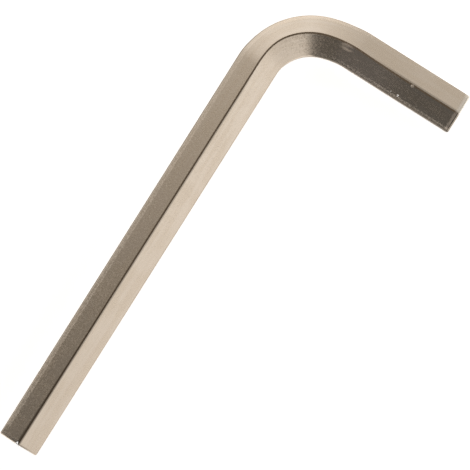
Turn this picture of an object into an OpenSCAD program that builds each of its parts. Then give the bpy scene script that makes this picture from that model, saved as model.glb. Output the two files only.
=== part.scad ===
// L-shaped hex key, bent once from hexagonal bar and nickel plated.
// It lies on its side as it comes to rest, on the two lower edges of its arms.
// The bar has a corner up and a corner down, so its inner and outer flats stand upright.
// Origin: centre of the plan at the height of the surface it lies on.
// The long arm runs along -Y, the short arm along +X, and +Z is up.

/* [Bar] */
// Width across two opposite flats, which is the size of the socket that it drives
across_flats = 9; // [5:0.5:14]
// Radius along the six long edges of the drawn bar
edge_radius = 0.55; // [0.1:0.05:1]

/* [Arms] */
// Length of the long arm, from its tip to the outer flat of the short arm
long_arm = 113.5; // [70:0.1:220]
// Length of the short arm, from its tip to the outer flat of the long arm
short_arm = 46.3; // [42:0.1:90]
// Radius that tumbling leaves round the sawn face at each tip
tip_radius = 0.35; // [0.1:0.05:0.8]

/* [Bend] */
// Radius of the main part of the bend, next to the long arm, measured to the middle of the bar
bend_radius = 13.5; // [11:0.1:20]
// Radius of the gentler last part of the bend, next to the short arm
lead_radius = 25; // [14:0.5:35]
// Angle of that last part
lead_angle = 18; // [2:1:30]
// How far the bend pulls the top and bottom edges outwards
ridge_shift = 0.72; // [0:0.01:0.9]
// How far each corner of the inner flat is squeezed out
inner_swell = 0.25; // [0:0.01:0.5]
// How far each corner of the outer flat is drawn in
outer_draw = 0.2; // [0:0.01:0.5]
// Length from the start of the bend at the long arm over which the section changes
change_in = 8.5; // [3:0.5:11]
// Length after that over which the section changes back, which ends in the short arm
change_out = 28; // [12:0.5:30]
// How much thinner the bend is between its upright flats
flat_thinning = 0.25; // [0:0.01:0.4]
// Length over which the thinning comes in at one end of the bend and goes at the other
thinning_run = 4; // [1:0.5:8]

/* [Wear] */
// Width of the chip out of the tip of the long arm, beside its top edge
chip_width = 0.75; // [0.2:0.05:1.5]
// Length of that chip along the arm
chip_length = 0.7; // [0.2:0.05:1.5]
// Depth of that chip
chip_depth = 0.65; // [0.2:0.05:1.2]
// Distance from the top edge to the middle of that chip, towards the outer flat
chip_side = 0.4; // [0:0.05:1.5]
// Distance of the dent beside the top edge of the short arm from the outer flat of the long arm
dent_place = 34.7; // [22:0.1:37]
// Distance from the top edge to the middle of that dent, towards the inner flat
dent_side = 0.25; // [0:0.05:1.5]
// Width of that dent
dent_width = 0.75; // [0.3:0.05:2]
// Depth of that dent
dent_depth = 0.08; // [0.05:0.01:0.3]

/* [Hidden] */

// Facets of each long edge's radius and of each tip's radius
edge_steps = 5;
tip_steps = 4;
// Facets along the main part of the bend, and along each of the two lengths after it
bend_steps = 32;
lead_steps = 12;

// Least radius left on a long edge where a large tip radius cuts into it
sharpest_radius = 0.05;
// Least length of plain bar that is left at the end of the short arm
plain_length = 3;
// Least length after the bend over which the section is still drawn in steps
least_run = 1;
main_angle = 90 - lead_angle;
half_width = across_flats / 2;
// Distance from the middle of the bar to a sharp corner of the hexagon
corner_reach = across_flats / sqrt(3);
// Distance from the middle of the bar to the crown of a rounded corner
crown_reach = corner_reach - edge_radius * (2 / sqrt(3) - 1);

// Centre of the last part of the bend, from that of its main part
lead_center = (lead_radius - bend_radius) * [cos(main_angle), -sin(main_angle)];
// Lengths along the middle of the bar
main_length = bend_radius * main_angle * PI / 180;
lead_length = lead_radius * lead_angle * PI / 180;
bend_length = main_length + lead_length;
// Middle of the bar where the short arm starts
short_start = lead_center + [0, lead_radius];
long_straight = long_arm - half_width - short_start.y;
short_straight = short_arm - half_width - bend_radius - short_start.x;
// Place along the bar, from the start of the bend, where it has its plain section again
change_end = min(change_in + change_out, bend_length + short_straight - plain_length);
shaped_length = max(change_end, bend_length + least_run);

// Centre of the main part of the bend, with the origin at the bottom centre of the key's box
bend_center = [
    bend_radius + half_width - short_arm / 2,
    long_arm / 2 - half_width - short_start.y,
    crown_reach
];

// Smooth rise from 0 to 1, level at both ends
function ease(t) = t * t * (3 - 2 * t);

// Share of the full change of section that is reached at a place along the bar
function change_share(place) =
    let (back = (place - change_in) / (change_end - change_in))
    ease(max(0, min(1, place / change_in))) * (1 - ease(max(0, min(1, back))));

// Share of the full thinning that is reached at a place along the bar
function thinning_share(place) =
    ease(max(0, min(1, place / thinning_run, (bend_length - place) / thinning_run)));

// Sharp corners of the section, counter-clockwise from the top one.
// x runs away from the centre of the bend and y runs up. change is the share of the change of section,
// thinning the share of the thinning, and inset draws every side in, for the rounded tips.
function section_corners(change, thinning, inset) =
    let (
        ridge = [ridge_shift * change, corner_reach - inset * 2 / sqrt(3)],
        side = half_width - inset - flat_thinning / 2 * thinning,
        side_height = corner_reach / 2 - inset / sqrt(3),
        outer = [side, side_height - outer_draw * change],
        inner = [-side, side_height + inner_swell * change]
    )
    [
        ridge,
        inner,
        [inner.x, -inner.y],
        [ridge.x, -ridge.y],
        [outer.x, -outer.y],
        outer
    ];

// Direction of a vector, one unit long
function unit(v) = v / norm(v);

// Points of one corner, rounded between its two neighbours
function rounded_corner(before, corner, after, radius, steps) =
    let (
        to_before = unit(before - corner),
        to_after = unit(after - corner),
        half_corner = acos(to_before * to_after) / 2,
        center = corner + unit(to_before + to_after) * radius / sin(half_corner),
        start = corner + to_before * radius / tan(half_corner) - center,
        start_angle = atan2(start.y, start.x),
        sweep = 180 - 2 * half_corner
    )
    [
        for (i = [0:steps])
            let (a = start_angle + sweep * i / steps)
            center + radius * [cos(a), sin(a)]
    ];

// Outline of the bar, with every corner rounded
function section(change = 0, thinning = 0, inset = 0) =
    let (
        corners = section_corners(change, thinning, inset),
        count = len(corners),
        radius = max(edge_radius - inset, sharpest_radius)
    )
    [
        for (i = [0:count - 1])
            each rounded_corner(
                corners[(i + count - 1) % count],
                corners[i],
                corners[(i + 1) % count],
                radius,
                edge_steps
            )
    ];

// Closed solid through a row of rings with equal numbers of points
module loft(rings) {
    per_ring = len(rings[0]);
    last = len(rings) - 1;
    sides = [
        for (k = [0:last - 1], i = [0:per_ring - 1])
            let (
                a = k * per_ring + i,
                b = k * per_ring + (i + 1) % per_ring
            )
            each [[a, b + per_ring, b], [a, a + per_ring, b + per_ring]]
    ];
    first_cap = [for (i = [0:per_ring - 1]) i];
    last_cap = [for (i = [per_ring - 1:-1:0]) last * per_ring + i];
    polyhedron(
        points = [for (ring = rings) each ring],
        faces = concat(sides, [first_cap, last_cap]),
        convexity = 4
    );
}

// Ring of points round the bar at a place along it, which is below 0 in the long arm
function ring_at(place, inset = 0) =
    let (
        angle = place < main_length
            ? max(0, place / bend_radius * 180 / PI)
            : min(90, main_angle + (place - main_length) / lead_radius * 180 / PI),
        radius = place < main_length ? bend_radius : lead_radius,
        center = place < main_length ? [0, 0] : lead_center,
        in_long_arm = min(0, place),
        in_short_arm = max(0, place - bend_length)
    )
    [
        for (p = section(change_share(place), thinning_share(place), inset))
            [
                center.x - (radius + p.x) * cos(angle) + in_short_arm,
                center.y + (radius + p.x) * sin(angle) + in_long_arm,
                p.y
            ]
    ];

// Whole bar, from the tip of the long arm to that of the short arm, each with its rounded rim.
// The centre of the main part of the bend is the origin, and the short arm points towards +X.
module bar() {
    loft([
        for (k = [0:tip_steps])
            ring_at(
                -long_straight + tip_radius * (1 - cos(90 * k / tip_steps)),
                tip_radius * (1 - sin(90 * k / tip_steps))
            ),
        for (k = [0:bend_steps - 1]) ring_at(main_length * k / bend_steps),
        for (k = [0:lead_steps - 1]) ring_at(main_length + lead_length * k / lead_steps),
        for (k = [0:lead_steps]) ring_at(bend_length + (shaped_length - bend_length) * k / lead_steps),
        for (k = [tip_steps:-1:0])
            ring_at(
                bend_length + short_straight - tip_radius * (1 - cos(90 * k / tip_steps)),
                tip_radius * (1 - sin(90 * k / tip_steps))
            )
    ]);
}

// Pyramid, point down, that nicks the tip. It is chip_width wide and reaches chip_length to either
// side at the height of the origin, which lies on the face of the tip.
module chip() {
    translate([0, 0, -chip_depth])
        scale([chip_width, 2 * chip_length, 1])
            cylinder(h = 2 * chip_depth, r1 = 0, r2 = 1, $fn = 4);
}

// Ball that leaves a round dent in a surface at the height of the origin
module dent() {
    ball_radius = (pow(dent_width / 2, 2) + pow(dent_depth, 2)) / (2 * dent_depth);
    translate([0, 0, ball_radius - dent_depth])
        sphere(r = ball_radius, $fn = 32);
}

module hex_key() {
    // Place of the dent, which follows the top edge
    dent_x = dent_place - bend_radius - half_width;
    dent_shift = ridge_shift * change_share(bend_length + dent_x - short_start.x);
    color("tan")
        translate(bend_center)
            difference() {
                bar();
                translate([
                    -bend_radius - chip_side,
                    -long_straight,
                    crown_reach - chip_side / sqrt(3)
                ])
                    chip();
                translate([
                    dent_x,
                    short_start.y + dent_shift - dent_side,
                    corner_reach - dent_side / sqrt(3)
                ])
                    rotate([30, 0, 0])
                        dent();
            }
}

hex_key();
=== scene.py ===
"""A nickel-plated hex key, lying on its side on a pale studio floor and seen from straight above."""

import math

import bpy
from bpy.props import FloatProperty, FloatVectorProperty, IntProperty, PointerProperty
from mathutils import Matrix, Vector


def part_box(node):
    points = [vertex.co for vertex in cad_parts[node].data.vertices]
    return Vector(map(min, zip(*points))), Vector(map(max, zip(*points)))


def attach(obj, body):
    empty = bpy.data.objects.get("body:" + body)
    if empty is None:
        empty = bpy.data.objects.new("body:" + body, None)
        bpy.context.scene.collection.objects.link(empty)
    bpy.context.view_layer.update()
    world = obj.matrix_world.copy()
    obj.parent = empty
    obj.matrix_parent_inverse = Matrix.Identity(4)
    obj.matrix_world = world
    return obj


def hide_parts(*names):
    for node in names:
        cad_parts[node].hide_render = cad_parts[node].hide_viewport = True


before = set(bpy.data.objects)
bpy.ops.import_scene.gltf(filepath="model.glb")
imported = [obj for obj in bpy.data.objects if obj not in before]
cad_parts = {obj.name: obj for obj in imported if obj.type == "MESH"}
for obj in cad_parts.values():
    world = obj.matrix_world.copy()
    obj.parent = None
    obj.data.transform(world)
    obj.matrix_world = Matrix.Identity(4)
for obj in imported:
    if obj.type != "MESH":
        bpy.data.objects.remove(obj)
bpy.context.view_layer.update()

bl_info = {
    "name": "Hex key",
    "version": (1, 0, 0),
    "blender": (4, 5, 0),
    "location": "3D View > Sidebar > Hex key",
    "description": "Makes an L-shaped hex key of plated hexagonal bar, and the studio that shows it",
    "category": "Object",
}

MM = 0.001
KEY_LOW, KEY_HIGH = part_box("hex_key")
KEY_WIDE, KEY_LONG = (KEY_HIGH.x - KEY_LOW.x) / MM, (KEY_HIGH.y - KEY_LOW.y) / MM

# Pips of nickel: each one's distance from the outer flat of the long arm and from that of the short arm,
# in millimetres, and its share of the pip size
PIPS = ((33.13, 7.95, 1.0), (31.4, 8.0, 0.5))

# Light of the curved panel: degrees round the key from the -Y side, level, and how warm it is
PANEL_STOPS = (
    (-130, 0.97, 0.0),
    (-116, 0.88, 0.0),
    (-106, 0.79, 0.04),
    (-95, 0.47, 0.12),
    (-89, 0.32, 0.13),
    (-82, 0.20, 0.12),
    (-68, 0.11, 0.0),
    (36, 0.11, 0.0),
    (37.5, 0.83, 0.0),
    (77, 0.79, 0.0),
    (92, 0.95, 0.0),
)

# Facets of the curved panel and of the round one overhead
PANEL_FACETS = 72
CEILING_FACETS = 48

# Middle of the dim part of the sky, in degrees from +X, and the cosine of the angle at which it ends
DIM_SKY_DIRECTION = 68
DIM_SKY_EDGE = 0.55

# Painted dark reflections stand in for the dark surroundings and shadowed floor that the edges mirror
# Painted dark reflection on the corners beside the upright flats and on the rims, long arm then short arm
OUTER_CORNER_DARK_REFLECTION = (0.7, 0.5)
INNER_CORNER_DARK_REFLECTION = (0.26, 0.86)
RIM_DARK_REFLECTION = (0.48, 0.45)

# Band of painted dark reflection on those corners, in edge radii upwards from where their rounding starts.
# Its top is higher on the short arm's inner side.
BAND_FOOT = -0.3
BAND_TOP = 0.72
BAND_TOP_MORE = 0.11
BAND_FADE = 0.14

# Shares of the corners' painted dark reflection and of the pebbling that the middle of the bend loses
BEND_BRIGHTENING = 0.85
BEND_SMOOTHING = 0.5

# Painted dark reflection on the top and bottom edges: how dark it is, how much more so at the tip of the long
# arm, and its place outwards from their crown in the long arm and in the short arm, and further out at that
# tip
RIDGE_DARK_REFLECTION = 0.42
RIDGE_DARK_REFLECTION_MORE = 0.2
RIDGE_LINE = (-0.24 * MM, 0.3 * MM)
RIDGE_LINE_MORE = 0.26 * MM

# Half-widths of that line in edge radii, of its core and with its soft border, and how much more each is at
# the tip of the long arm. The lengths are those over which it fades out before the bend and in again past it.
RIDGE_CORE, RIDGE_BORDER = 0.22, 0.5
RIDGE_CORE_MORE, RIDGE_BORDER_MORE = 0.33, 0.5
RIDGE_FADES = (8 * MM, 12 * MM)

# How far from the plane of a tip a point may lie and still count as on its sawn face
SAWN_DEPTH = 0.004 * MM

# Lighter inner facet past the bend: how strong it is, and where it starts and has finished fading along the
# arm
LIGHTER_PAST_BEND_SHARE = 0.8
LIGHTER_PAST_BEND_FADE = (4 * MM, 14 * MM)

# How rubbed the dent is, how rubbed the ends of the long arm and of the short arm are, and how much
# roughness full rubbing adds
DENT_RUBBING = 0.7
END_RUBBING = (0.1, 0.4)
RUBBED_ROUGHNESS = 0.5

# How much narrower and steeper the lands beside the edges are in the short arm, where those in the long arm
# start and are whole, and how much smoother than the flats all of them are
LAND_NARROWER = 0.25
LAND_STEEPER = 0.4
LAND_START = (0.8 * MM, 3 * MM)
LAND_SMOOTHING = 0.5

# Unevenness of the plate: size of its patches, width of its streaks and how many times longer they are, and
# how far both change its roughness
PATCH_SIZE = 6 * MM
STREAK_WIDTH = 0.9 * MM
STREAK_STRETCH = 14
UNEVEN_ROUGHNESS = 0.14

# Tint of the plate where it is seen at a low angle
EDGE_TINT = (0.45, 0.45, 0.45, 1)

# Fineness of the balls that cut the dent and make the pips
DENT_SUBDIVISIONS = 5
PIP_SUBDIVISIONS = 3


def length(name, description, millimetres):
    """A distance that a user can change, with its default in millimetres."""
    return FloatProperty(
        name=name,
        description=description,
        default=millimetres * MM,
        unit="LENGTH",
        subtype="DISTANCE",
        precision=5,
    )


def share(name, description, default):
    """A plain number between 0 and 1."""
    return FloatProperty(
        name=name, description=description, default=default, min=0, max=1, subtype="FACTOR"
    )


def angle(name, description, degrees):
    """An angle, with its default in degrees."""
    return FloatProperty(
        name=name, description=description, default=math.radians(degrees), unit="ROTATION", subtype="ANGLE"
    )


def colour(name, description, rgb):
    """A linear colour without alpha."""
    return FloatVectorProperty(
        name=name, description=description, default=rgb, min=0, max=1, size=3, subtype="COLOR"
    )


class HexKeyShape(bpy.types.PropertyGroup):
    """Sizes of the bent bar."""

    long_arm: length("Long arm", "From its tip to the outer flat of the short arm", KEY_LONG)
    short_arm: length("Short arm", "From its tip to the outer flat of the long arm", KEY_WIDE)
    across_flats: length("Across flats", "Width of the bar between two opposite flats", 9)
    edge_radius: length("Edge radius", "Radius along the six long edges", 0.55)
    tip_radius: length("Tip radius", "Radius round the sawn face at each tip", 0.35)
    bend_radius: length("Bend radius", "Radius of the main part of the bend at the middle of the bar", 13.5)
    lead_radius: length("Lead radius", "Radius of the gentler last part, next to the short arm", 25)
    lead_angle: angle("Lead angle", "Angle of that last part", 18)
    ridge_shift: length("Ridge shift", "How far the bend pulls the top and bottom edges outwards", 0.72)
    inner_swell: length("Inner swell", "How far the bend squeezes out the corners of the inner flat", 0.25)
    outer_draw: length("Outer draw", "How far the bend draws in the corners of the outer flat", 0.2)
    change_in: length("Change in", "Length over which the section changes, from the long arm on", 8.5)
    change_out: length("Change out", "Length after that over which the section changes back", 28)
    flat_thinning: length("Flat thinning", "How much thinner the bend is between its upright flats", 0.25)
    thinning_run: length("Thinning run", "Length over which the thinning comes in and goes", 4)
    ring_count: IntProperty(name="Rings", description="Rings of points along the bar", default=600, min=60)
    edge_points: IntProperty(name="Edge points", description="Points on each long edge", default=9, min=3)
    tip_rings: IntProperty(name="Tip rings", description="Rings in each tip's radius", default=6, min=2)


class HexKeyWear(bpy.types.PropertyGroup):
    """Sizes and places of the marks that the key has taken."""

    chip_width: length("Chip width", "Width of the chip at the long arm's tip", 0.75)
    chip_length: length("Chip length", "Length of that chip along the arm", 0.7)
    chip_depth: length("Chip depth", "Depth of that chip at the tip", 0.65)
    chip_side: length("Chip side", "From the top edge to that chip's middle, towards the outer flat", 0.4)
    dent_place: length("Dent place", "Distance of the dent from the outer flat of the long arm", 34.7)
    dent_side: length("Dent side", "From the top edge to the dent's middle, towards the inner flat", 0.25)
    dent_width: length("Dent width", "Width of the dent beside the short arm's top edge", 0.75)
    dent_depth: length("Dent depth", "Depth of that dent", 0.08)
    pip_size: length("Pip size", "Radius of the larger pip of nickel on the short arm's inner face", 0.27)


class HexKeyPlating(bpy.types.PropertyGroup):
    """Colours and grain of the nickel plate, with the colours of its painted dark reflections and painted
    glints.
    """

    nickel: colour("Nickel", "Colour of the plate", (0.75, 0.635, 0.515))
    shade: colour("Shaded nickel", "Colour of the duller patches of the plate", (0.715, 0.595, 0.47))
    # Colour of the painted dark reflections on the corners, rims and top and bottom edges
    painted_dark_reflection: colour("Dull", "Colour of the plate on dull corners and rims", (0.105, 0.086, 0.065))
    lighter_past_bend: colour("Lighter nickel past bend", "Colour of the plate past the bend, on the inner facet", (0.94, 0.79, 0.66))
    # The rubbed colour also goes on the outer half of the short arm's tip, as a painted highlight
    rubbed: colour("Rubbed nickel", "Colour of the plate where use has rubbed it", (0.95, 0.88, 0.78))
    # Near white: the chip's exposed steel, brightened there and on the pips into a painted glint
    bare_steel_and_glint: colour("Bare steel", "Colour of the bright metal in the chip", (0.97, 0.955, 0.93))
    roughness: share("Roughness", "Roughness of the satin plate", 0.17)
    spotting: share("Spotting", "How much rougher the small spots are", 0.11)
    grain: length("Grain", "Size of the plate's fine pebbling", 0.3)
    grain_height: length("Grain height", "Height of the fine pebbling", 0.01)
    land_width: length("Land width", "Width of the sloping land beside each long edge", 1.22)
    land_slope: angle("Land slope", "Slope of that land against its flat", 4)
    crowning: angle("Crowning", "Slope of each flat beside its long edges, as it is a little round", 1.5)
    end_land: length("End land", "Length of the rubbed land at each tip", 1.2)
    scuff_place: length("Scuff place", "From the short arm's tip to the middle of the scuff", 27.6)
    scuff_side: length("Scuff side", "From the top edge to the middle of the scuff", 0.8)
    scuff_length: length("Scuff length", "Length of the scuff along the short arm", 4.2)
    scuff_width: length("Scuff width", "Width of the scuff", 1.7)
    scuffing: share("Scuffing", "How much the scuff roughens the plate", 0.6)


class HexKeyStudio(bpy.types.PropertyGroup):
    """Camera, floor and light."""

    camera_height: length("Camera height", "Height of the camera over the middle of the bar", 1300)
    frame_width: length("Frame width", "Width of the picture at the middle of the bar", 99.8)
    frame_x: length("Frame centre X", "Where the middle of the picture falls along the short arm", -3.41)
    frame_y: length("Frame centre Y", "Where the middle of the picture falls along the long arm", 5.35)
    frame_turn: angle("Frame turn", "Turn of the picture about the vertical", 32.23)
    floor_size: length("Floor size", "Side of the square floor", 12000)
    floor: colour("Floor", "Colour of the floor", (0.9, 0.9, 0.9))
    floor_glow: share("Floor glow", "Strength that lifts the floor to white where it is seen", 0.75)
    sky: colour("Sky", "Colour of the soft light from all round", (0.96, 0.97, 0.98))
    dim_sky: colour("Dim sky", "Colour of the light behind the short arm", (0.48, 0.465, 0.44))
    panel_distance: length("Panel distance", "From the middle of the key to the curved panel", 380)
    panel_low: length("Panel foot", "Height of the curved panel's lower edge", 105)
    panel_high: length("Panel top", "Height of the curved panel's upper edge", 500)
    ceiling_height: length("Ceiling height", "Height of the round panel over the key", 500)
    ceiling_radius: length("Ceiling radius", "Radius of the round panel over the key", 390)
    ceiling: colour("Ceiling", "Colour of the dim round panel over the key", (0.12, 0.10, 0.078))


class Value:
    """A number on its way through a node graph. Python arithmetic on it adds Math nodes."""

    def __init__(self, graph, socket):
        self.graph = graph
        self.socket = socket

    def __add__(self, other):
        return self.graph.math("ADD", self, other)

    def __sub__(self, other):
        return self.graph.math("SUBTRACT", self, other)

    def __rsub__(self, other):
        return self.graph.math("SUBTRACT", other, self)

    def __mul__(self, other):
        return self.graph.math("MULTIPLY", self, other)

    def __truediv__(self, other):
        return self.graph.math("DIVIDE", self, other)

    def __rtruediv__(self, other):
        return self.graph.math("DIVIDE", other, self)

    def __pow__(self, other):
        return self.graph.math("POWER", self, other)

    def __neg__(self):
        return self.graph.math("MULTIPLY", self, -1)

    def __abs__(self):
        return self.graph.math("ABSOLUTE", self)

    def __lt__(self, other):
        return self.graph.math("LESS_THAN", self, other)

    __radd__ = __add__
    __rmul__ = __mul__


class Graph:
    """Adds nodes to a node tree and links them."""

    def __init__(self, tree):
        self.tree = tree

    def add(self, kind, settings=None, inputs=None, output=0):
        """Adds one node: its settings first, then its sockets by name or place, each with a value, a link
        or a list of links. Returns one output, if the node has any."""
        node = self.tree.nodes.new(kind)
        for name, setting in (settings or {}).items():
            if name == "stops":
                self.set_stops(node, setting)
            else:
                setattr(node, name, setting)
        for name, value in (inputs or {}).items():
            if isinstance(value, Value):
                self.tree.links.new(value.socket, node.inputs[name])
            elif isinstance(value, list):
                for part in value:
                    self.tree.links.new(part.socket, node.inputs[name])
            else:
                node.inputs[name].default_value = value
        return Value(self, node.outputs[output]) if node.outputs else None

    @staticmethod
    def set_stops(node, stops):
        """Gives a colour ramp its stops, each a place and a colour."""
        ramp = node.color_ramp
        while len(ramp.elements) < len(stops):
            ramp.elements.new(1)
        for element, (place, rgba) in zip(ramp.elements, stops):
            element.position = place
            element.color = rgba

    def math(self, operation, *values):
        """Adds one Math node."""
        return self.add("ShaderNodeMath", {"operation": operation}, dict(enumerate(values)))

    def least(self, a, b):
        """The smaller of two numbers."""
        return self.math("MINIMUM", a, b)

    def most(self, a, b):
        """The larger of two numbers."""
        return self.math("MAXIMUM", a, b)

    def sin(self, a):
        """Sine of an angle in radians."""
        return self.math("SINE", a)

    def cos(self, a):
        """Cosine of an angle in radians."""
        return self.math("COSINE", a)

    def choose(self, test, if_true, if_false):
        """if_true where test is 1 and if_false where it is 0."""
        return test * if_true + (1 - test) * if_false

    def blend(self, factor, first, second):
        """Mixes two colours, each a link or three numbers."""
        first, second = (rgb if isinstance(rgb, Value) else (*rgb, 1) for rgb in (first, second))
        return self.add("ShaderNodeMix", {"data_type": "RGBA"}, {"Factor": factor, 6: first, 7: second}, 2)

    def plan(self, vector):
        """X and Y of a vector."""
        return (self.add("ShaderNodeSeparateXYZ", None, {"Vector": vector}, axis) for axis in ("X", "Y"))

    def rise(self, value, low, high):
        """Smooth step from 0 at low to 1 at high."""
        return self.add(
            "ShaderNodeMapRange",
            {"interpolation_type": "SMOOTHSTEP"},
            {"Value": value, "From Min": low, "From Max": high},
        )


def new_graph(owner):
    """Clears the nodes of a material or a world and returns a graph on its tree."""
    owner.use_nodes = True
    owner.node_tree.nodes.clear()
    return Graph(owner.node_tree)


def bar_tree(shape, wear, material):
    """Geometry Nodes that draw a straight hexagonal bar, bend it to the key and mark it.

    Every point knows its place in the bar's section and along the bar. The bend works out from these where
    each goes. The chip and the dent are small solids that are cut away, and the pips are small balls joined
    on.
    """
    tree = bpy.data.node_groups.new("Bent hexagonal bar", "GeometryNodeTree")
    tree.interface.new_socket("Geometry", in_out="OUTPUT", socket_type="NodeSocketGeometry")
    names = {
        "Long arm": shape.long_arm,
        "Short arm": shape.short_arm,
        "Across flats": shape.across_flats,
        "Edge radius": shape.edge_radius,
        "Tip radius": shape.tip_radius,
        "Bend radius": shape.bend_radius,
        "Lead radius": shape.lead_radius,
        "Lead angle": shape.lead_angle,
        "Ridge shift": shape.ridge_shift,
        "Inner swell": shape.inner_swell,
        "Outer draw": shape.outer_draw,
        "Change in": shape.change_in,
        "Change out": shape.change_out,
        "Flat thinning": shape.flat_thinning,
        "Thinning run": shape.thinning_run,
        "Rings": shape.ring_count,
        "Edge points": shape.edge_points,
        "Tip rings": shape.tip_rings,
        "Chip width": wear.chip_width,
        "Chip length": wear.chip_length,
        "Chip depth": wear.chip_depth,
        "Chip side": wear.chip_side,
        "Dent place": wear.dent_place,
        "Dent side": wear.dent_side,
        "Dent width": wear.dent_width,
        "Dent depth": wear.dent_depth,
        "Pip size": wear.pip_size,
        "Plate": material,
    }
    kinds = {float: "NodeSocketFloat", int: "NodeSocketInt", bpy.types.Material: "NodeSocketMaterial"}
    identifiers = {}
    for name, value in names.items():
        socket = tree.interface.new_socket(name, in_out="INPUT", socket_type=kinds[type(value)])
        identifiers[socket.identifier] = value

    g = Graph(tree)
    inputs = g.add("NodeGroupInput").socket.node
    size = {name: Value(g, inputs.outputs[name]) for name in names}

    half_width = size["Across flats"] / 2
    corner_reach = size["Across flats"] / math.sqrt(3)
    arc_reach = corner_reach - size["Edge radius"] * (2 / math.sqrt(3))
    crown_reach = arc_reach + size["Edge radius"]
    bend_radius, lead_radius = size["Bend radius"], size["Lead radius"]
    main_angle = math.pi / 2 - size["Lead angle"]
    lead_x = (lead_radius - bend_radius) * g.cos(main_angle)
    lead_y = (bend_radius - lead_radius) * g.sin(main_angle)
    main_length = bend_radius * main_angle
    bend_length = main_length + lead_radius * size["Lead angle"]
    long_straight = size["Long arm"] - half_width - lead_y - lead_radius
    short_straight = size["Short arm"] - half_width - bend_radius - lead_x
    bar_length = long_straight + bend_length + short_straight

    hexagon = g.add(
        "GeometryNodeCurvePrimitiveCircle", {"mode": "RADIUS"}, {"Resolution": 6, "Radius": corner_reach}
    )
    profile = g.add(
        "GeometryNodeFilletCurve",
        {"mode": "POLY"},
        {"Curve": hexagon, "Count": size["Edge points"], "Radius": size["Edge radius"]},
    )
    profile_x, profile_y = g.plan(g.add("GeometryNodeInputPosition"))
    profile = store(g, profile, "across", -profile_y)
    profile = store(g, profile, "up", profile_x)

    rail = g.add("GeometryNodeCurvePrimitiveLine", {"mode": "POINTS"}, {"End": (0, 0, 1)})
    rail = g.add("GeometryNodeResampleCurve", {"mode": "COUNT"}, {"Curve": rail, "Count": size["Rings"]})
    ring = g.add("GeometryNodeInputIndex")
    last_ring = size["Rings"] - 1
    from_end = g.least(ring, last_ring - ring)
    turn = g.least(from_end / size["Tip rings"], 1) * (math.pi / 2)
    plain_rings = last_ring - size["Tip rings"] * 2
    step = (bar_length - size["Tip radius"] * 2) / plain_rings
    beyond = g.most(from_end - size["Tip rings"], 0) * step
    from_tip = size["Tip radius"] * (1 - g.cos(turn)) + beyond
    inset = size["Tip radius"] * (1 - g.sin(turn))
    along = g.choose(ring < last_ring / 2, from_tip, bar_length - from_tip)
    rail = store(g, rail, "along", along)
    rail = store(g, rail, "inset", inset)

    swept = {"Curve": rail, "Profile Curve": profile, "Fill Caps": True}
    bar = g.add("GeometryNodeCurveToMesh", None, swept)

    across, up, along, inset = (read(g, name) for name in ("across", "up", "along", "inset"))
    sector = math.pi / 3
    corner_turn = g.math("ARCTAN2", up, across)
    corner = (g.math("ROUND", (corner_turn - sector / 2) / sector) + 0.5) * sector
    arc_across, arc_up = arc_reach * g.cos(corner), arc_reach * g.sin(corner)
    shrink = 1 - inset / size["Edge radius"]
    across = arc_across + (across - arc_across) * shrink
    up = arc_up + (up - arc_up) * shrink

    place = along - long_straight
    change_in, change_end = size["Change in"], size["Change in"] + size["Change out"]
    change = g.rise(place, 0, change_in) * (1 - g.rise(place, change_in, change_end))
    thinning = g.rise(g.least(place, bend_length - place), 0, size["Thinning run"])
    inner_share = g.most(-across, 0) / half_width
    outer_share = g.most(across, 0) / half_width
    ridge_share = 1 - inner_share - outer_share
    above = g.least(g.most(up / (corner_reach / 2), -1), 1)
    up = up + above * change * (size["Inner swell"] * inner_share - size["Outer draw"] * outer_share)
    thinned = 1 - thinning * size["Flat thinning"] / size["Across flats"]
    across = across * thinned + change * size["Ridge shift"] * ridge_share

    in_main = place < main_length
    main_turn = g.least(g.most(place, 0), main_length) / bend_radius
    lead_turn = g.most(g.least(place, bend_length) - main_length, 0) / lead_radius
    turn = main_turn + lead_turn
    reach = g.choose(in_main, bend_radius, lead_radius) + across
    center_x = bend_radius + half_width - size["Short arm"] / 2 + (1 - in_main) * lead_x
    center_y = long_straight - size["Long arm"] / 2 + (1 - in_main) * lead_y
    x = center_x - reach * g.cos(turn) + g.most(place - bend_length, 0)
    y = center_y + reach * g.sin(turn) - g.most(-place, 0)
    z = crown_reach + up
    target = g.add("ShaderNodeCombineXYZ", None, {"X": x, "Y": y, "Z": z})

    unmarked = g.add("GeometryNodeSetPosition", None, {"Geometry": bar, "Position": target})

    arm_x = half_width - size["Short arm"] / 2
    arm_y = size["Long arm"] / 2 - half_width
    chip_top = crown_reach * 2 - size["Chip side"] / math.sqrt(3)
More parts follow.
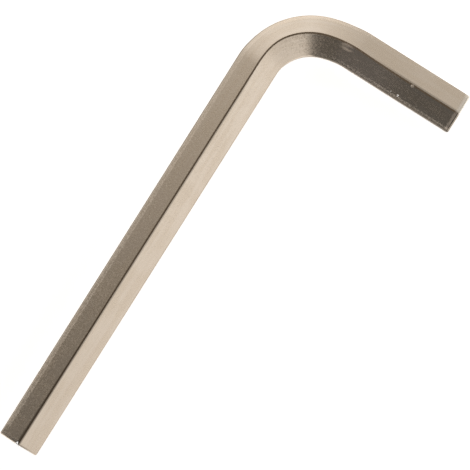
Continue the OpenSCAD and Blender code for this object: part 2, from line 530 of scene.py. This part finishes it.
    # The chip's faces are marked for exposed steel brightened into a painted glint
    wedge = store(g, chip(g, size, arm_x - size["Chip side"], chip_top), "fresh", 1.0, "FACE")
    key = cut(g, unmarked, wedge)
    dent_radius = (size["Dent width"] ** 2 / 4 + size["Dent depth"] ** 2) / (size["Dent depth"] * 2)
    dent_x = size["Dent place"] - size["Short arm"] / 2
    dent_lift = dent_radius - size["Dent depth"]
    dent_y = arm_y - size["Dent side"] - dent_lift * math.sin(math.pi / 6)
    dent_z = crown_reach + corner_reach - size["Dent side"] / math.sqrt(3)
    dent_z = dent_z + dent_lift * math.cos(math.pi / 6)
    key = cut(g, key, ball(g, dent_radius, DENT_SUBDIVISIONS, dent_x, dent_y, dent_z))
    for name in ("across", "up", "along"):
        source = {"Mesh": unmarked, "Value": read(g, name)}
        nearest = g.add("GeometryNodeSampleNearestSurface", {"data_type": "FLOAT"}, source)
        key = store(g, key, name, nearest)
    for pip_along, pip_across, pip_share in PIPS:
        pip_side = pip_across * MM - half_width
        pip_z = crown_reach + corner_reach - pip_side / math.sqrt(3)
        pip_x, pip_y = pip_along * MM - size["Short arm"] / 2, arm_y - pip_side
        pip = ball(g, size["Pip size"] * pip_share, PIP_SUBDIVISIONS, pip_x, pip_y, pip_z)
        # The pips are marked for the same near-white painted glint
        pip = store(g, pip, "fresh", 1.0, "FACE")
        key = g.add("GeometryNodeJoinGeometry", None, {"Geometry": [key, pip]})
    key = g.add("GeometryNodeSetShadeSmooth", None, {"Geometry": key, "Shade Smooth": True})
    key = g.add("GeometryNodeRealizeInstances", None, {"Geometry": key})
    key = g.add("GeometryNodeSetMaterial", None, {"Geometry": key, "Material": size["Plate"]})
    g.add("NodeGroupOutput", None, {"Geometry": key})
    return tree, identifiers


def cut(g, body, tool):
    """Takes one solid away from another."""
    settings = {"operation": "DIFFERENCE", "solver": "EXACT"}
    return g.add("GeometryNodeMeshBoolean", settings, {"Mesh 1": body, "Mesh 2": tool})


def ball(g, radius, subdivisions, x, y, z):
    """Ball at a point."""
    place = g.add("ShaderNodeCombineXYZ", None, {"X": x, "Y": y, "Z": z})
    mesh = g.add("GeometryNodeMeshIcoSphere", None, {"Radius": radius, "Subdivisions": subdivisions})
    return g.add("GeometryNodeTransform", None, {"Geometry": mesh, "Translation": place})


def chip(g, size, x, top):
    """Pyramid, point down, that nicks the end of the long arm. It leaves two steep sides there."""
    sides = {"Vertices": 4, "Side Segments": 1, "Fill Segments": 1}
    extent = {"Radius Top": 0.0, "Radius Bottom": 1.0, "Depth": 1.0}
    wedge = g.add("GeometryNodeMeshCone", {"fill_type": "NGON"}, {**sides, **extent})
    stretch = g.add(
        "ShaderNodeCombineXYZ",
        None,
        {"X": size["Chip width"], "Y": size["Chip length"] * 2, "Z": size["Chip depth"] * 2},
    )
    middle = {"X": x, "Y": -size["Long arm"] / 2, "Z": top + size["Chip depth"]}
    place = g.add("ShaderNodeCombineXYZ", None, middle)
    point_down = (math.pi, 0, 0)
    move = {"Translation": place, "Rotation": point_down, "Scale": stretch}
    return g.add("GeometryNodeTransform", None, {"Geometry": wedge, **move})


def store(g, geometry, name, value, domain="POINT"):
    """Keeps a number on every point or face of the geometry."""
    settings = {"data_type": "FLOAT", "domain": domain}
    kept = {"Geometry": geometry, "Name": name, "Value": value}
    return g.add("GeometryNodeStoreNamedAttribute", settings, kept)


def read(g, name):
    """Reads a number kept by store."""
    return g.add("GeometryNodeInputNamedAttribute", {"data_type": "FLOAT"}, {"Name": name})


def plain_mesh(tree, identifiers, name):
    """Runs a Geometry Nodes tree once and returns its result as a plain mesh."""
    holder = bpy.data.objects.new(name, bpy.data.meshes.new(name))
    bpy.context.collection.objects.link(holder)
    modifier = holder.modifiers.new(tree.name, "NODES")
    modifier.node_group = tree
    for identifier, value in identifiers.items():
        modifier[identifier] = value
    evaluated = holder.evaluated_get(bpy.context.evaluated_depsgraph_get())
    mesh = bpy.data.meshes.new_from_object(evaluated)
    bpy.data.objects.remove(holder)
    mesh.name = name
    return mesh


def bar_lengths(shape):
    """Length of the bar up to its bend, of its bend and of the whole bar."""
    main_angle = math.pi / 2 - shape.lead_angle
    more = shape.lead_radius - shape.bend_radius
    bend = shape.bend_radius * main_angle + shape.lead_radius * shape.lead_angle
    straight = shape.long_arm - shape.across_flats / 2 - shape.lead_radius + more * math.sin(main_angle)
    last = shape.short_arm - shape.across_flats / 2 - shape.bend_radius - more * math.cos(main_angle)
    return straight, bend, straight + bend + last


class PlatePlaces:
    """Where a point of the plate lies in the bar's section and along the bar, as values of a graph."""

    def __init__(self, g, shape):
        self.across, self.up, self.along, self.fresh = (
            g.add("ShaderNodeAttribute", {"attribute_name": name}, None, "Fac")
            for name in ("across", "up", "along", "fresh")
        )
        self.bend_start, self.bend_length, self.bar_length = bar_lengths(shape)
        self.past_bend = self.along - self.bend_start - self.bend_length
        self.from_tip = g.least(self.along, self.bar_length - self.along)
        self.sawn = self.from_tip < SAWN_DEPTH
        # arm goes from 0 in the long arm to 1 in the short arm. in_bend is 0 in both and 1 halfway.
        self.arm = g.rise(self.along, self.bend_start, self.bend_start + self.bend_length)
        self.in_bend = self.arm * (1 - self.arm) * 4
        self.outer = g.rise(self.across, -shape.edge_radius, shape.edge_radius)
        self.inner = 1 - self.outer
        # rim is 1 on the rounded rim of each tip, which is wider in the short arm, and 0 past it.
        self.rim = 1 - g.rise(self.from_tip / shape.tip_radius - self.arm * 0.4, 0.9, 1.2)
        sector = math.pi / 3
        turn = g.math("ARCTAN2", self.up, self.across)
        folded = turn - g.math("ROUND", turn / sector) * sector
        reach = g.math("SQRT", self.across * self.across + self.up * self.up)
        self.from_middle = abs(reach * g.sin(folded))
        self.from_edge = shape.across_flats / math.sqrt(12) - self.from_middle

    def by_arm(self, in_long_arm, in_short_arm):
        """Goes from one number in the long arm to another in the short arm."""
        return self.arm * (in_short_arm - in_long_arm) + in_long_arm


def corner_dark_reflection(g, at, shape):
    """How much painted dark reflection the corners beside the upright flats get. In the bend only the inner
    ones get it, and only past its middle."""
    arc_height = shape.across_flats / math.sqrt(12) - shape.edge_radius / math.sqrt(3)
    lift = (abs(at.up) - arc_height) / shape.edge_radius
    band_top = at.arm * at.inner * BAND_TOP_MORE + BAND_TOP
    band = g.rise(lift, BAND_FOOT, 0) * (1 - g.rise(lift, band_top, band_top + BAND_FADE))
    on_long_arm, on_short_arm = INNER_CORNER_DARK_REFLECTION
    inner_dark_reflection = on_long_arm + g.rise(at.arm, 0.2, 0.75) * (on_short_arm - on_long_arm)
    painted_dark_reflection = at.outer * at.by_arm(*OUTER_CORNER_DARK_REFLECTION) + at.inner * inner_dark_reflection
    out_of_bend = 1 - at.in_bend * BEND_BRIGHTENING
    past_middle = at.inner * g.rise(at.arm, 0.53, 0.68)
    return band * painted_dark_reflection * g.most(out_of_bend, past_middle)


def ridge_dark_reflection(g, at, shape):
    """How much painted dark reflection the top and bottom edges get. The line is widest at the tip of the
    long arm.
    """
    tipward = g.most(1 - at.along / at.bend_start, 0)
    near_tip = tipward * tipward * tipward
    fade_out, fade_in = RIDGE_FADES
    straight = 1 - g.rise(at.along, at.bend_start - fade_out, at.bend_start)
    straight = straight + g.rise(at.past_bend, 0, fade_in)
    line = at.by_arm(*RIDGE_LINE) + near_tip * RIDGE_LINE_MORE
    from_line = abs(at.across - line) / shape.edge_radius
    core = RIDGE_CORE + near_tip * RIDGE_CORE_MORE
    border = RIDGE_BORDER + near_tip * RIDGE_BORDER_MORE
    ridge = 1 - g.rise(from_line, core, border)
    return ridge * straight * (RIDGE_DARK_REFLECTION + near_tip * RIDGE_DARK_REFLECTION_MORE)


def rim_dark_reflection(g, at, shape):
    """How much painted dark reflection the inner half of each rim gets. In the long arm this fades towards
    the inner flat.
    """
    fade = g.rise(-at.across, 1 * MM, shape.across_flats / 2) * (1 - at.arm) * 0.85
    return at.rim * at.by_arm(*RIM_DARK_REFLECTION) * at.inner * (1 - fade)


def dented_share(g, shape, wear, place):
    """How rubbed the plate is in the dent, and 0 elsewhere."""
    middle = (
        wear.dent_place - shape.short_arm / 2,
        shape.long_arm / 2 - shape.across_flats / 2 - wear.dent_side,
        KEY_HIGH.z - wear.dent_side / math.sqrt(3),
    )
    distance = g.add("ShaderNodeVectorMath", {"operation": "DISTANCE"}, {0: place, 1: middle}, "Value")
    return (1 - g.rise(distance, wear.dent_width * 0.42, wear.dent_width * 0.55)) * DENT_RUBBING


def scuffed_share(g, at, plating, streaks):
    """How rubbed the plate is in the oval streaky patch past the bend, on the upper side."""
    along = (at.bar_length - at.along - plating.scuff_place) / (plating.scuff_length / 2)
    across = (at.across + plating.scuff_side) / (plating.scuff_width / 2)
    scuff = 1 - g.rise(along * along + across * across, 0.2, 1)
    return scuff * (1 - (at.up < 0)) * g.rise(streaks, 0.3, 0.6) * plating.scuffing


def plate_relief(g, at, shape, plating, pebbles):
    """Height of the plate: its pebbling, the crown of each flat, and the lands beside the edges and at
    the short arm's tip."""
    slope = -math.tan(plating.land_slope)
    beside_flats = abs(at.up) < shape.across_flats * math.sqrt(3) / 4
    land = plating.land_width * (1 - at.arm * LAND_NARROWER) - at.from_edge
    land = g.most(land, 0) * beside_flats * (1 + at.arm * LAND_STEEPER)
    rolled = 1 - g.rise(land, 0, plating.land_width * 0.3) * LAND_SMOOTHING
    stretched = 1 - at.in_bend * BEND_SMOOTHING
    land = land * g.rise(at.along, *LAND_START) * slope
    crown_slope = -math.tan(plating.crowning) * math.sqrt(3) / shape.across_flats
    crown = at.from_middle * at.from_middle * crown_slope
    end_land = g.most(plating.end_land - at.from_tip, 0) * at.arm * slope
    return pebbles * plating.grain_height * rolled * stretched + (land + crown + end_land) * (1 - at.sawn)


def plate_material(shape, wear, plating):
    """Satin nickel plate with fine pebbling, uneven tone, painted dark reflections on its edges and rims,
    painted highlights at the chip, the pips and the short arm's tip, and the lands beside the edges.
    """
    material = bpy.data.materials.new("nickel_plate")
    g = new_graph(material)
    place = g.add("ShaderNodeTexCoord", None, None, "Object")
    at = PlatePlaces(g, shape)

    def noise(size, detail):
        scale = {"Scale": 1 / size, "Detail": detail, "Roughness": 0.55}
        return g.add("ShaderNodeTexNoise", None, {"Vector": place, **scale})

    patches = noise(PATCH_SIZE, 3.0)
    lengthwise = {"X": at.across, "Y": at.up, "Z": at.along / STREAK_STRETCH}
    lengthwise = g.add("ShaderNodeCombineXYZ", None, lengthwise)
    fine = {"Vector": lengthwise, "Scale": 1 / STREAK_WIDTH, "Detail": 2.0}
    streaks = g.add("ShaderNodeTexNoise", None, fine)
    pebbles = noise(plating.grain, 2.0)
    spots = g.rise(noise(plating.grain * 1.3, 1.0), 0.35, 0.7)

    # Lighter colour on the inner facet, from the end of the bend to a little past it
    lighter_past_bend = g.rise(at.arm, 0.85, 1) * (1 - g.rise(at.past_bend, *LIGHTER_PAST_BEND_FADE)) * at.inner * LIGHTER_PAST_BEND_SHARE
    # Painted dark reflections on the corners, rims and top and bottom edges, standing in for dark
    # surroundings and shadowed floor
    painted_dark_reflection = g.most(corner_dark_reflection(g, at, shape), rim_dark_reflection(g, at, shape))
    painted_dark_reflection = g.most(ridge_dark_reflection(g, at, shape), painted_dark_reflection)
    dented = dented_share(g, shape, wear, place)
    # Painted highlight: lighter colour on the outer half of the short arm's tip, for the white its rounded
    # end mirrors
    painted_tip_highlight = (1 - g.rise(at.from_tip, 0, plating.end_land * 1.3)) * at.arm * at.outer * (1 - at.sawn)
    tone = g.blend(g.rise(patches + streaks - 0.5, 0.3, 0.7), plating.nickel, plating.shade)
    tone = g.blend(lighter_past_bend, tone, plating.lighter_past_bend)
    tone = g.blend(painted_dark_reflection * (1 - at.sawn), tone, plating.painted_dark_reflection)
    # Rubbed colour: wear in the dent, and a painted highlight on the short arm's tip
    tone = g.blend(g.most(painted_tip_highlight, dented * 0.3), tone, plating.rubbed)
    # Painted glint: the chip and the pips take the near-white colour of exposed steel
    tone = g.blend(at.fresh, tone, plating.bare_steel_and_glint)

    rubbed_end = 1 - g.rise(at.from_tip, plating.end_land * 0.65, plating.end_land * 1.1)
    rubbed_end = rubbed_end * (1 - at.rim) * at.by_arm(*END_RUBBING)
    rubbed = g.most(g.most(dented, scuffed_share(g, at, plating, streaks)), rubbed_end) * RUBBED_ROUGHNESS
    uneven = (patches + streaks - 1) * UNEVEN_ROUGHNESS + spots * plating.spotting

    relief = plate_relief(g, at, shape, plating, pebbles)
    surface = g.add(
        "ShaderNodeBsdfPrincipled",
        None,
        {
            "Base Color": tone,
            "Metallic": 1.0,
            "Specular Tint": EDGE_TINT,
            "Roughness": plating.roughness + uneven + rubbed,
            "Normal": g.add("ShaderNodeBump", None, {"Strength": 1.0, "Distance": 1.0, "Height": relief}),
        },
    )
    g.add("ShaderNodeOutputMaterial", None, {"Surface": surface})
    return material


class OBJECT_OT_hex_key_bar(bpy.types.Operator):
    """Make the bent and plated bar of the hex key"""

    bl_idname = "object.hex_key_bar"
    bl_label = "Hex key bar"

    def execute(self, context):
        shape = context.scene.hex_key_shape
        wear = context.scene.hex_key_wear
        material = plate_material(shape, wear, context.scene.hex_key_plating)
        tree, identifiers = bar_tree(shape, wear, material)
        mesh = plain_mesh(tree, identifiers, "hex_key_bar")
        bar = bpy.data.objects.new("hex_key_bar", mesh)
        context.collection.objects.link(bar)
        normals = bar.modifiers.new("Flat faces stay flat", "WEIGHTED_NORMAL")
        normals.keep_sharp = True
        normals.weight = 100
        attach(bar, "root")
        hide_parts("hex_key")
        return {"FINISHED"}


class SCENE_OT_hex_key_studio(bpy.types.Operator):
    """Make the floor, the soft light and the camera"""

    bl_idname = "scene.hex_key_studio"
    bl_label = "Studio"

    def execute(self, context):
        studio = context.scene.hex_key_studio
        make_floor(context, studio)
        make_panels(context, studio)
        make_sky(context, studio)
        make_camera(context, studio)
        context.scene.view_settings.view_transform = "Standard"
        return {"FINISHED"}


def make_floor(context, studio):
    """Pale floor that shows as white and keeps the key's shadow."""
    mesh = bpy.data.meshes.new("floor")
    half = studio.floor_size / 2
    corners = [(-half, -half, 0), (half, -half, 0), (half, half, 0), (-half, half, 0)]
    mesh.from_pydata(corners, [], [(0, 1, 2, 3)])
    floor = bpy.data.objects.new("floor", mesh)
    context.collection.objects.link(floor)
    material = bpy.data.materials.new("floor")
    g = new_graph(material)
    camera_ray, glossy_ray, transmission_ray = (
        g.add("ShaderNodeLightPath", None, None, ray)
        for ray in ("Is Camera Ray", "Is Glossy Ray", "Is Transmission Ray")
    )
    seen = g.least(camera_ray + glossy_ray + transmission_ray, 1)
    matte = g.add("ShaderNodeBsdfDiffuse", None, {"Color": (*studio.floor, 1)})
    glow = g.add("ShaderNodeEmission", None, {"Color": (1, 1, 1, 1), "Strength": seen * studio.floor_glow})
    surface = g.add("ShaderNodeAddShader", None, {0: matte, 1: glow})
    g.add("ShaderNodeOutputMaterial", None, {"Surface": surface})
    mesh.materials.append(material)


def make_panels(context, studio):
    """Curved panel in front of the short arm and round panel overhead. The camera sees neither."""
    first, last = math.radians(PANEL_STOPS[0][0]), math.radians(PANEL_STOPS[-1][0])
    verts = []
    for k in range(PANEL_FACETS + 1):
        turn = first + (last - first) * k / PANEL_FACETS
        x, y = studio.panel_distance * math.sin(turn), -studio.panel_distance * math.cos(turn)
        verts += [(x, y, studio.panel_low), (x, y, studio.panel_high)]
    faces = [(2 * k, 2 * k + 2, 2 * k + 3, 2 * k + 1) for k in range(PANEL_FACETS)]
    add_panel(context, "curved_panel", verts, faces, curved_panel_material(first, last))
    rim = []
    for k in range(CEILING_FACETS):
        turn = math.tau * k / CEILING_FACETS
        x, y = studio.ceiling_radius * math.cos(turn), studio.ceiling_radius * math.sin(turn)
        rim.append((x, y, studio.ceiling_height))
    ceiling = glowing_material("ceiling_panel", studio.ceiling)
    add_panel(context, "ceiling_panel", rim, [tuple(range(CEILING_FACETS))], ceiling)


def add_panel(context, name, verts, faces, material):
    """Puts up one panel that the camera doesn't see."""
    mesh = bpy.data.meshes.new(name)
    mesh.from_pydata(verts, [], faces)
    mesh.materials.append(material)
    panel = bpy.data.objects.new(name, mesh)
    context.collection.objects.link(panel)
    panel.visible_camera = False


def glowing_material(name, rgb):
    """Material that gives off soft light of one colour."""
    material = bpy.data.materials.new(name)
    g = new_graph(material)
    surface = g.add("ShaderNodeEmission", None, {"Color": (*rgb, 1), "Strength": 1.0})
    g.add("ShaderNodeOutputMaterial", None, {"Surface": surface})
    return material


def curved_panel_material(first, last):
    """Soft light that is dark in the middle of the panel and pale at its ends."""
    material = bpy.data.materials.new("curved_panel")
    g = new_graph(material)
    x, y = g.plan(g.add("ShaderNodeTexCoord", None, None, "Object"))
    turn = g.math("ARCTAN2", x, -y)
    stops = []
    for degrees, level, warmth in PANEL_STOPS:
        rgba = (level, level * (1 - 0.4 * warmth), level * (1 - warmth), 1)
        stops.append(((math.radians(degrees) - first) / (last - first), rgba))
    tone = g.add("ShaderNodeValToRGB", {"stops": stops}, {"Fac": (turn - first) / (last - first)})
    surface = g.add("ShaderNodeEmission", None, {"Color": tone, "Strength": 1.0})
    g.add("ShaderNodeOutputMaterial", None, {"Surface": surface})
    return material


def make_sky(context, studio):
    """Soft light from all round, a little dimmer behind the short arm."""
    world = bpy.data.worlds.new("studio")
    g = new_graph(world)
    x, y = g.plan(g.add("ShaderNodeTexCoord", None, None, "Generated"))
    dim_turn = math.radians(DIM_SKY_DIRECTION)
    dim_side = x * math.cos(dim_turn) + y * math.sin(dim_turn)
    level = g.math("SQRT", x * x + y * y)
    dip = g.most(dim_side / g.most(level, 0.001) - DIM_SKY_EDGE, 0) / (1 - DIM_SKY_EDGE)
    sky = g.blend(dip * dip, studio.sky, studio.dim_sky)
    surface = g.add("ShaderNodeBackground", None, {"Color": sky, "Strength": 1.0})
    g.add("ShaderNodeOutputWorld", None, {"Surface": surface})
    context.scene.world = world


def make_camera(context, studio):
    """Camera straight above the key, turned as the picture is."""
    data = bpy.data.cameras.new("camera")
    camera = bpy.data.objects.new("camera", data)
    context.collection.objects.link(camera)
    bar_middle = (KEY_LOW.z + KEY_HIGH.z) / 2
    camera.location = (studio.frame_x, studio.frame_y, bar_middle + studio.camera_height)
    camera.rotation_euler = (0, 0, studio.frame_turn)
    data.sensor_width = 36
    data.lens = data.sensor_width * studio.camera_height / studio.frame_width
    data.clip_end = 100
    context.scene.camera = camera


class VIEW3D_PT_hex_key(bpy.types.Panel):
    """Sidebar panel with the key's sizes, finish and operators"""

    bl_label = "Hex key"
    bl_idname = "VIEW3D_PT_hex_key"
    bl_space_type = "VIEW_3D"
    bl_region_type = "UI"
    bl_category = "Hex key"

    def draw(self, context):
        for group in GROUPS:
            settings = getattr(context.scene, group)
            for name in settings.bl_rna.properties.keys():
                if name not in {"rna_type", "name"}:
                    self.layout.prop(settings, name)
        for operator in OPERATORS:
            self.layout.operator(operator.bl_idname)


GROUPS = {
    "hex_key_shape": HexKeyShape,
    "hex_key_wear": HexKeyWear,
    "hex_key_plating": HexKeyPlating,
    "hex_key_studio": HexKeyStudio,
}
OPERATORS = (OBJECT_OT_hex_key_bar, SCENE_OT_hex_key_studio)


def register():
    """Registers the add-on's classes and its settings on the scene."""
    for group in (*GROUPS.values(), *OPERATORS, VIEW3D_PT_hex_key):
        bpy.utils.register_class(group)
    for name, group in GROUPS.items():
        setattr(bpy.types.Scene, name, PointerProperty(type=group))


def unregister():
    """Takes them away again."""
    for name in GROUPS:
        delattr(bpy.types.Scene, name)
    for group in (VIEW3D_PT_hex_key, *reversed(OPERATORS), *reversed(GROUPS.values())):
        bpy.utils.unregister_class(group)


def main():
    """Makes the key and its studio."""
    register()
    bpy.ops.object.hex_key_bar()
    bpy.ops.scene.hex_key_studio()


if __name__ == "__main__":
    main()
